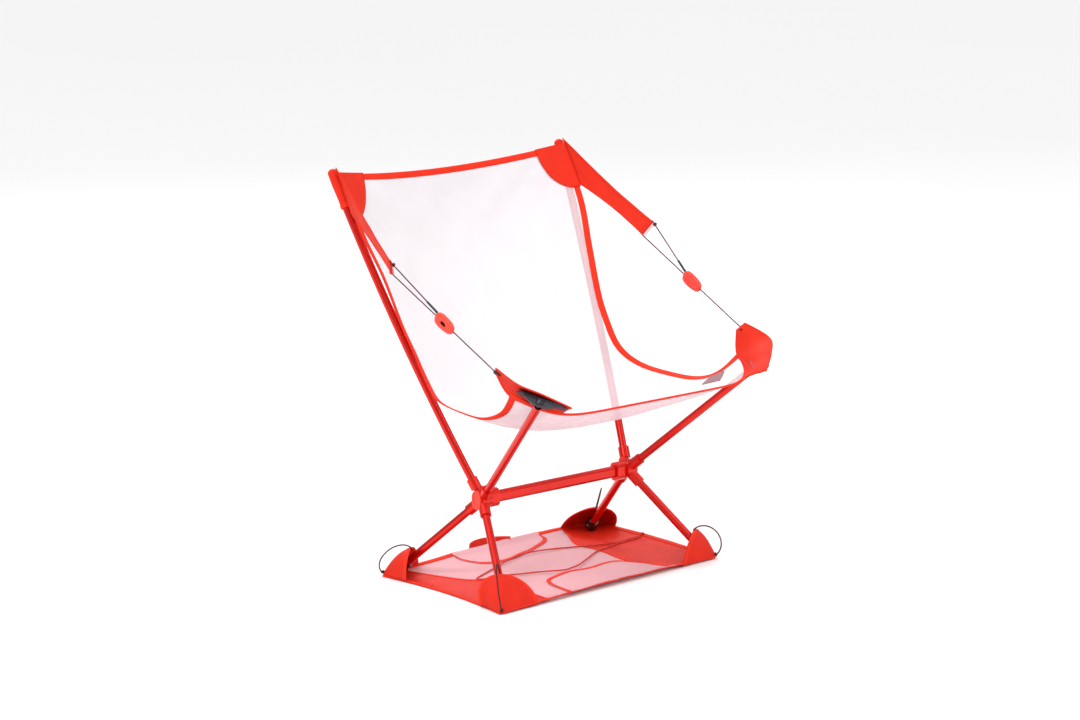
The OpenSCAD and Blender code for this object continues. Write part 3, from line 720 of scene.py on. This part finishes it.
# ---- Seat corners: a shield between two edges, with the ear at its first end ----
LIFT = Vector((-1.9, 0.1, 3.1))
INNER = [Vector((266, -147, 381)), Vector((251, -163, 346)),
         Vector((229, -208, 331)), Vector((203, -231, 323))]
OUTER = [Vector((276, -158, 394)), Vector((281, -212, 373)) + LIFT,
         Vector((253, -243, 356)) + LIFT, Vector((217.5, -266.3, 335.1)) + LIFT]
EAR_HOLE = (271, -153, 386)
SHIELD_OUT = Vector((-0.531, 0.06, 0.845))
for side, word in SIDES:
    rows = []
    for s in steps(0, 3, 48):
        a, b = spline(INNER, s), spline(OUTER, s)
        bulge = 8 * math.sin(math.pi * min(s / 3, 1)) + 0.8 * math.sin(s * 5)
        row = []
        for w in steps(0, 1, 16):
            p = mix(a, b, w)
            out = SHIELD_OUT * (bulge * math.sin(math.pi * w) + 0.6)
            row.append(at(*(p + out), side))
        rows.append(row)
    shield = cloth("shield", rows, 0.0015, [red_cloth], flip=side == RIGHT)
    hems = [
        sweep(
            "hem", [row[pick] for row in rows], edge_axes(rows, pick, other, side == RIGHT),
            tape_section(0.0055, 0.0026), red_cloth,
        )
        for pick, other in ((0, 2), (-1, -3))
    ]
    corner = joined("seat_corner_fabric_" + word, shield, *hems)
    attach(corner, "root")
    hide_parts("seat_corner_" + word)

# ---- Side tag ----
tag_rows = [
    [sling_point(u, t) + Vector((0, 0, -0.0008)) * (k % 3) for u in steps(0.86, 0.955, 8)]
    for k, t in enumerate(steps(8.7, 9.28, 14))
]
tag = cloth("side_tag_cloth", tag_rows, 0.0007, [tag_cloth], middle=-0.0022)
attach(tag, "root")
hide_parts("side_tag")

# ---- Arm straps and side cords ----
HEM_MID = Vector((283, 80.5, 522.5))
HEM_DIR = Vector((14, -12.6, 22.9)).normalized()
hem_low, hem_high = HEM_MID - HEM_DIR * 14.5, HEM_MID + HEM_DIR * 14.5
ear = Vector(EAR_HOLE)
cord_dir = (hem_low - ear).normalized()
adj_mid = ear + cord_dir * 131
adj_side = cord_dir.cross(Vector((1, 0, 0))).normalized()
tail_end = adj_mid + cord_dir * 23 - adj_side * 6
tail_dir = (tail_end - hem_high).normalized()
REAR_HIGH, REAR_LOW = Vector((252, 242, 652)), Vector((250.5, 208, 584))

for side, word in SIDES:
    rows = []
    for s in steps(-0.06, 1, 44):
        low, high = mix(REAR_LOW, hem_low, s), mix(REAR_HIGH, hem_high, s)
        waist = 5.5 * math.sin(math.pi * min(max(s, 0), 1)) * (1 - 0.4 * s)
        pull = (low - high).normalized() * waist
        low, high = low - pull, high + pull
        row = []
        for w in steps(0, 1, 14):
            p = mix(low, high, w) - cord_dir * max(s, 0)
            p = p + Vector((1, 0, 0)) * (
                1.2 * math.sin(math.pi * w) * math.sin(math.pi * max(s, 0))
                + 0.5 * ripple((w, s * 3, 0), 2.0, 4.0)
            )
            row.append(at(*p, side))
        rows.append(row)
    web = cloth("web", rows, 0.0013, [red_cloth], flip=side == LEFT)
    parts = [web]
    for pick, other in ((0, 2), (-1, -3)):
        parts.append(sweep(
            "edge", [row[pick] for row in rows], edge_axes(rows, pick, other, side == LEFT),
            tape_section(0.006, 0.0021), red_cloth,
        ))
    # Rolled hem round the cord
    lo, hi = at(*hem_low, side), at(*hem_high, side)
    d = (hi - lo).normalized()
    ax = (at(*cord_dir, side) - at(0, 0, 0, side)).normalized()
    ax = (ax - d * ax.dot(d)).normalized()
    ends = steps(0, 1, 12)
    parts.append(sweep(
        "roll", [mix(lo, hi, e) for e in ends], [(ax, d.cross(ax))] * len(ends),
        oval_section(0.0034, 0.0027, 24), red_cloth,
    ))
    for k in (0.006, 0.0085):
        bar = [mix(lo, hi, e) - ax * k for e in (0.06, 0.35, 0.65, 0.94)]
        parts.append(tube("stitch", [p + d.cross(ax) * 0.0009 for p in bar], 0.00045, red_cord, 6))
    strap = joined("arm_strap_fabric_" + word, *parts)
    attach(strap, "back")
    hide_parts("arm_strap_" + word)

    # Main strand from the ear through the adjuster and round the hem
    line = [ear - cord_dir * 5 - Vector((2.2, 0, 0)), ear - cord_dir * 2 - Vector((0.6, 0, 0))]
    line += [ear + cord_dir * s for s in steps(1, (hem_low - ear).length - 3, 60)]
    bend = [hem_low - cord_dir * 1.2 + HEM_DIR * 0.6, hem_low + HEM_DIR * 3]
    bend += [mix(hem_low, hem_high, k) for k in (0.3, 0.5, 0.7)]
    bend += [hem_high - HEM_DIR * 3, hem_high + tail_dir * 1.2 - HEM_DIR * 0.6]
    strand = tube(
        "side_cord_" + word, [at(*p, side) for p in line + bend], 0.001, dark_cord, 10
    )
    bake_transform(strand)
    # Return strand: one length hangs from the hem, the other stands on the adjuster,
    # and they overlap, so that the run stays whole as the adjuster slides
    total = (tail_end - hem_high).length
    upper = tube(
        "return_cord_upper_" + word,
        [at(*(hem_high + tail_dir * s), side) for s in steps(0, total - 22, 24)],
        0.001, dark_cord, 10,
    )
    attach(upper, "back")
    lower = tube(
        "return_cord_lower_" + word,
        [at(*(tail_end - tail_dir * s), side) for s in steps(2, 92, 20)],
        0.00097, dark_cord, 10,
    )
    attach(lower, "adjuster_" + word)
    stop = knot(
        "stopper_knot_" + word, at(*(hem_high + tail_dir * 9), side),
        at(*tail_dir, side) - at(0, 0, 0, side), 0.001, dark_cord, 0.0028,
    )
    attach(stop, "back")
    ear_knot = knot(
        "ear_knot_" + word, at(*(ear - cord_dir * 6 - Vector((3.4, 0, 0))), side),
        Vector((side, 0, 0)), 0.001, dark_cord, 0.0028,
    )
    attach(ear_knot, "root")
    if side == LEFT:
        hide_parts("lower_cords")
        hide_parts("upper_cords")

    # Moulded eyelet in the ear
    centre = at(*EAR_HOLE, side)
    n = Vector((side * 0.86, -0.42, -0.28)).normalized()
    x = n.orthogonal().normalized()
    y = n.cross(x)
    spokes = [x * math.cos(a) + y * math.sin(a) for a in turn(28)]
    eyelet = sweep(
        "ear_eyelet_" + word, [centre + spoke * 0.0028 for spoke in spokes],
        [(spoke, n) for spoke in spokes], oval_section(0.0011, 0.0014, 10), navy, closed=True,
    )
    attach(eyelet, "root")

    # Adjuster: a crowned tab with soft edges and a thumb hollow
    across = adj_side.cross(cord_dir)
    half_w, half_l, half_t = 11.5, 22, 4.5
    points, uvs, faces = [], [], []
    m, rings = 40, 18
    for k, b in enumerate(steps(-90, 90, rings)):
        cb, sb = math.cos(math.radians(b)), math.sin(math.radians(b))
        flat = math.copysign(abs(sb) ** 0.7, sb)
        wide = max(cb, 0.02) ** 0.35
        for j in range(m):
            a = 2 * math.pi * j / m
            c, q = math.cos(a), math.sin(a)
            px = math.copysign(abs(c) ** 0.62, c) * half_w * wide
            py = math.copysign(abs(q) ** 0.5, q) * half_l * wide
            px *= 1 - 0.16 * (py / half_l) ** 2 + 0.1 * (py / half_l)
            pz = flat * half_t * (1 - 0.22 * math.exp(-(px / 5) ** 2 - (py / 9) ** 2))
            p = adj_mid + adj_side * px + cord_dir * py + across * pz
            points.append(at(*p, side))
            uvs.append((px * 0.001, py * 0.001))
    for k in range(rings):
        for j in range(m):
            h = (j + 1) % m
            quad = (k * m + j, k * m + h, (k + 1) * m + h, (k + 1) * m + j)
            faces.append(quad if side == RIGHT else quad[::-1])
    faces.append(tuple(range(m)))
    faces.append(tuple(rings * m + j for j in range(m - 1, -1, -1)))
    tab = made("adjuster_tab_" + word, points, faces, uvs, [coral])
    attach(tab, "adjuster_" + word)
    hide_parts("adjuster_" + word)

# ---- Footprint ----
FR, FL, RL, RR = (Vector(p) for p in ((-272, -165), (238, -138), (262, 186), (-249, 151)))
NEAR_SEAM = [(-225, 220), (-188, 110), (-168, 45), (-146, 5), (-138, -60), (-165, -210)]
FAR_SEAM = [(210, 230), (162, 145), (126, 85), (126, 30), (112, -40), (118, -90), (165, -210)]


def near_edge(w):
    d = RR - FR
    side = Vector((d.y, -d.x)).normalized()
    return mix(FR, RR, w) + side * 14 * math.sin(math.pi * w)


def crossing(seam, a, b, t0, t1):
    """Where a seam meets the edge from a to b, by halving."""
    n = Vector((a.y - b.y, b.x - a.x))
    for _ in range(40):
        t = (t0 + t1) / 2
        if ((spline(seam, t) - a).dot(n) > 0) == ((spline(seam, t0) - a).dot(n) > 0):
            t0 = t
        else:
            t1 = t
    return t0


def seam_line(seam):
    last = len(seam) - 1
    front = crossing(seam, FR, FL, last - 1, last)
    rear = crossing(seam, RR, RL, 0, 1)
    return lambda w: spline(seam, mix(front, rear, w))


near_seam, far_seam = seam_line(NEAR_SEAM), seam_line(FAR_SEAM)


def off_line(p, a, b):
    d = (b - a).normalized()
    return abs((p - a).dot(Vector((-d.y, d.x))))


def part_way(p, a, b):
    return min(max((p - a).dot(b - a) / (b - a).length_squared, 0), 1)


def ground(p):
    """Height of the footprint's cloth: flat, with edges that lift between the corners."""
    z = 0.9
    for a, b, high in ((FR, FL, 7.0), (RR, RL, 7.5), (FL, RL, 5.0), (FR, RR, 2.5)):
        near = math.exp(-(off_line(p, a, b) / 11) ** 2)
        z += high * near * math.sin(math.pi * part_way(p, a, b)) ** 0.7
    z += 0.9 * max(ripple((p.x, p.y, 0), 0.017, 2.0), -0.4) + 0.25 * ripple((p.x, p.y, 0), 0.06)
    return max(z, 0.55)


def on_ground(p, lift=0.0):
    return at(p.x, p.y, ground(p) + lift)


UP = Vector((0, 0, 1))


def laid(name, left, right, cols, rows, material, lift=0.0):
    grid = [
        [on_ground(mix(left(w), right(w), s), lift) for s in steps(0, 1, cols)]
        for w in steps(0.012, 0.988, rows)
    ]
    return cloth(name, grid, 0.0008, [material], normal=UP)


def far_edge(w):
    return mix(FL, RL, w)


near_panel = laid("footprint_panel_near", near_edge, near_seam, 30, 64, floor_cloth)
far_panel = laid("footprint_panel_far", far_seam, far_edge, 36, 64, floor_cloth)
mesh_floor = laid("footprint_mesh_sheet", near_seam, far_seam, 60, 64, base_mesh)


def flat_tape(name, line, inward, width, thick, material, lift, closed=False):
    """Tape laid along a line of ground points; inward gives each point's inner side."""
    points = [on_ground(p, lift) for p in line]
    axes = []
    for p, i in zip(line, inward):
        deep = on_ground(p + i * width * 1000, lift) - on_ground(p, lift)
        deep.normalize()
        side = Vector((-i.y, i.x, 0))
        n = deep.cross(side)
        axes.append((deep, n if n.z > 0 else -n))
    return sweep(name, points, axes, tape_section(width, thick), material, closed)


def outline():
    """The footprint's edge with rounded corners, and the direction inwards at each point."""
    edges = [
        [mix(FR, FL, t) for t in steps(0, 1, 60)],
        [mix(FL, RL, t) for t in steps(0, 1, 40)],
        [mix(RL, RR, t) for t in steps(0, 1, 60)],
        [near_edge(1 - t) for t in steps(0, 1, 40)],
    ]
    line = []
    for k, edge in enumerate(edges):
        nxt = edges[(k + 1) % 4]
        line += edge[2:-2]
        a, c, b = edge[-2], edge[-1], nxt[2]
        a = mix(c, edge[-4], min(1, 13 / (c - edge[-4]).length))
        b = mix(c, nxt[3], min(1, 13 / (c - nxt[3]).length))
        line = [p for p in line if (p - c).length > 13.5]
        line += [mix(mix(a, c, t), mix(c, b, t), t) for t in steps(0, 1, 8)]
    first = edges[0][0]
    line = [p for k, p in enumerate(line) if k > 20 or (p - first).length > 13.5]
    inward = []
    for i in range(len(line)):
        d = (line[(i + 1) % len(line)] - line[i - 1]).normalized()
        inward.append(Vector((-d.y, d.x)))
    return line, inward


rim_line, rim_in = outline()
rim = flat_tape("footprint_edge_tape", rim_line, rim_in, 0.009, 0.002, floor_tape, 0.5, True)

seam_tapes = []
for word, seam, sign in (("near", near_seam, -1), ("far", far_seam, 1)):
    line = [seam(w) for w in steps(0.02, 0.98, 70)]
    inward = []
    for i in range(len(line)):
        d = (line[min(i + 1, len(line) - 1)] - line[max(i - 1, 0)]).normalized()
        inward.append(Vector((-d.y, d.x)) * -sign)
    seam_tapes.append(
        flat_tape("footprint_seam_" + word, line, inward, 0.005, 0.0011, floor_tape, 0.7)
    )

FRONT_WING = [
    (-112, -147), (-100, -130), (-72, -56), (39, -42), (91, -40), (112, -64), (135, -133),
]
REAR_WING = [
    (-86, 147), (-86, 118), (-74, 92), (-49, 83), (-13, 86), (38, 103), (91, 126), (118, 148),
    (120, 163),
]
for word, free, a, b, pull in (
    ("front", FRONT_WING, FR, FL, Vector((-17, -45))),
    ("rear", REAR_WING, RR, RL, Vector((9, 87))),
):
    last = len(free) - 1
    base_a, base_b = (mix(a, b, part_way(Vector(free[k]), a, b)) for k in (0, -1))

    def height(p):
        up = 1.7 + 1.6 * math.exp(-((p - pull).length / 26) ** 2)
        return ground(p) + up + 0.7 * ripple((p.x, p.y, 3), 0.03, 7.0)

    rows, line, inward = [], [], []
    for t in steps(0.02, last - 0.02, 90):
        edge = spline(free, t)
        base = mix(base_a, base_b, t / last)
        rows.append([
            at(p.x, p.y, height(p))
            for s in steps(0.03, 1, 18) for p in [mix(base, edge, s)]
        ])
        line.append(edge)
        inward.append((base - edge).normalized() if (base - edge).length > 1 else Vector((0, 1)))
    sheet = cloth("footprint_wing_" + word, rows, 0.0007, [base_mesh], normal=UP)
    points, axes = [], []
    for p, i in zip(line, inward):
        here, there = at(p.x, p.y, height(p)), p + i * 8
        deep = (at(there.x, there.y, height(there)) - here).normalized()
        n = deep.cross(Vector((-i.y, i.x, 0)))
        points.append(here)
        axes.append((deep, n if n.z > 0 else -n))
    tape = sweep(
        "footprint_wing_tape_" + word, points, axes, tape_section(0.008, 0.0019), floor_tape
    )
    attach(sheet, "root")
    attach(tape, "root")
    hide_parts(word + "_wing")

for piece, node, name in (
    (mesh_floor, "footprint_mesh", "footprint_mesh"),
    (near_panel, "footprint_panel_right", "red_fabric"),
    (far_panel, "footprint_panel_left", "red_fabric"),
    (rim, "footprint_binding", "red_binding"),
):
    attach(piece, "root")
    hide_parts(node)
for piece in seam_tapes:
    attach(piece, "root")

# Carry handle: webbing that stands on edge
HANDLE_X, HANDLE_Y = 6, 167
HANDLE_HALF, HANDLE_BULGE = 46, 20
bow_r = (HANDLE_HALF ** 2 + HANDLE_BULGE ** 2) / (2 * HANDLE_BULGE)
handle_line, handle_axes = [], []
for a in steps(0, 1, 40):
    x = mix(-HANDLE_HALF, HANDLE_HALF, a)
    reach = math.sqrt(bow_r ** 2 - x * x)
    arch = math.sin(math.pi * a)
    out = Vector((x, reach, 0)).normalized()
    handle_line.append(
        at(HANDLE_X + x, HANDLE_Y + reach - bow_r + HANDLE_BULGE, 1.3 + 0.5 * arch)
    )
    handle_axes.append(((UP + out * 0.12 * arch).normalized(), out))
handle = sweep(
    "carry_handle_webbing", handle_line, handle_axes, tape_section(0.0128, 0.0017), webbing
)
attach(handle, "root")
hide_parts("carry_handle")

# ---- Toe pockets and elastic loops ----
FRONT_FOOT, REAR_FOOT = Vector((222.5, -116.5)), Vector((212.4, 139.2))
POCKET_H = round(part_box("toe_pocket_front_left")[1].z * 1000, 1)
FOOT_Z = 12.05
MOUTH_SIDE, MOUTH_END = 58, 85
TIP_INSET, EDGE_INSET, NEAR_INSET = 4, 2, 8


def flipped(p):
    return Vector((-p.x, p.y))


def pulled_in(p, by):
    return p - p.normalized() * by


def along_edge(tip, end, by, inset=EDGE_INSET):
    return pulled_in(tip + (end - tip).normalized() * by, inset)


loops = []
for name, foot, corner, left_end, right_end in (
    ("front_left", FRONT_FOOT, FL, along_edge(FL, RL, MOUTH_SIDE), along_edge(FL, FR, MOUTH_END)),
    (
        "front_right", flipped(FRONT_FOOT), FR,
        along_edge(FR, FL, MOUTH_END), along_edge(FR, RR, MOUTH_SIDE, NEAR_INSET),
    ),
    ("rear_left", REAR_FOOT, RL, along_edge(RL, RR, MOUTH_END), along_edge(RL, FL, MOUTH_SIDE)),
    (
        "rear_right", flipped(REAR_FOOT), RR,
        along_edge(RR, FR, MOUTH_SIDE, NEAR_INSET), along_edge(RR, RL, MOUTH_END),
    ),
):
    tip = pulled_in(corner, TIP_INSET)
    out = (tip - foot).normalized()
    hub = Vector((math.copysign(HUB_X, foot.x), 0))
    lean = 0.6 * (POCKET_H - FOOT_Z) / (HUB_Z * 1000 - FOOT_Z)
    apex = foot + (hub - foot) * lean + out * 5
    middle, half_mouth = (left_end + right_end) / 2, (left_end - right_end) / 2

    def mouth(a):
        rise = max(math.sin(a), 0) ** 0.85
        p = mix(middle, apex, rise) + half_mouth * math.cos(a)
        return Vector((p.x, p.y, mix(2.4, POCKET_H, rise)))

    ground_tip = Vector((tip.x, tip.y, 2.5))
    rows = []
    for r in steps(0.03, 1, 26):
        row = []
        for a in steps(0, math.pi, 44):
            p = mix(ground_tip, mouth(a), r)
            p.z = mix(ground_tip.z, mouth(a).z, r * (1.9 - 0.9 * r))
            p.z += 0.7 * math.sin(math.pi * r) * math.sin(a * 5) * math.sin(a)
            row.append(at(p.x, p.y, max(p.z, 2.2)))
        rows.append(row)
    shell = cloth("shell", rows, 0.0012, [floor_cloth], flip=True)
    normals = grid_normals(rows, True)[-1]
    axes = [((a - b).normalized(), n) for a, b, n in zip(rows[-3], rows[-1], normals)]
    lip = sweep("lip", rows[-1], axes, tape_section(0.008, 0.0024), floor_tape)
    pocket = joined("toe_pocket_fabric_" + name, shell, lip)
    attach(pocket, "root")
    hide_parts("toe_pocket_" + name)

    a, b = at(tip.x, tip.y, 6), at(apex.x, apex.y, POCKET_H + 1.2)
    along = (b - a).normalized()
    outward = Vector((out.x, out.y, 0))
    rise = along.cross(outward).cross(along).normalized()
    half = (b - a).length / 2
    line = [
        (a + b) / 2 - along * half * math.cos(t) * (1 + 0.04 * math.sin(t))
        + rise * half * math.sin(t) * 0.98
        for t in steps(0, math.pi, 48)
    ]
    line = [a - Vector((0, 0, 0.003)) + outward * -0.003] + line + [b - Vector((0, 0, 0.004))]
    loop = tube("loop", line, 0.00115, loop_cord, 10)
    grip = knot("grip", a + Vector((0, 0, 0.0015)), along, 0.0011, loop_cord, 0.0026)
    loops.append(joined("elastic_loop_" + name, loop, grip))
for loop in loops:
    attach(loop, "root")
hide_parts("elastic_loops")

# ---- Studio ----
floor_graph = Graph("studio_floor")
floor_tone = floor_graph.noise(floor_graph.object_place(), 0.6, 1)
floor_graph.set(
    Base_Color=floor_graph.blend(floor_tone, (0.88, 0.88, 0.88), (0.9, 0.9, 0.9)), Roughness=0.7
)
FLOOR_Z = -0.0002
floor = made(
    "studio_floor", [(x, y, FLOOR_Z) for x, y in ((-30, -30), (30, -30), (30, 40), (-30, 40))],
    [(0, 1, 2, 3)], [(0, 0)] * 4, [floor_graph.mat],
)

world = bpy.data.worlds.new("studio")
bpy.context.scene.world = world
world.use_nodes = True
sky = world.node_tree
height = sky.nodes.new("ShaderNodeTexCoord").outputs["Generated"]
parts = sky.nodes.new("ShaderNodeSeparateXYZ")
sky.links.new(height, parts.inputs[0])
bands = sky.nodes.new("ShaderNodeValToRGB")
sky.links.new(parts.outputs[2], bands.inputs[0])
stops = bands.color_ramp.elements
stops[0].color, stops[1].color = (0.8, 0.8, 0.8, 1), (1.3, 1.3, 1.3, 1)
for place, tone in ((0.12, 0.5), (0.3, 0.6), (0.5, 1.2)):
    stops.new(place).color = (tone, tone, tone, 1)
sky.links.new(bands.outputs[0], sky.nodes["Background"].inputs[0])
sky.nodes["Background"].inputs[1].default_value = 0.9


def softbox(name, place, size, watts, target=(0, 0, 0.3)):
    lamp = bpy.data.lights.new(name, "AREA")
    lamp.shape, lamp.size, lamp.energy = "DISK", size, watts
    o = bpy.data.objects.new(name, lamp)
    bpy.context.collection.objects.link(o)
    o.location = place
    o.rotation_euler = (o.location - Vector(target)).to_track_quat("Z", "Y").to_euler()


softbox("key_light", (-2.6, -0.6, 2.9), 1.3, 62)
softbox("fill_light", (1.2, -3.0, 1.8), 2.0, 26)
softbox("rim_light", (1.4, 2.4, 2.4), 1.2, 30)
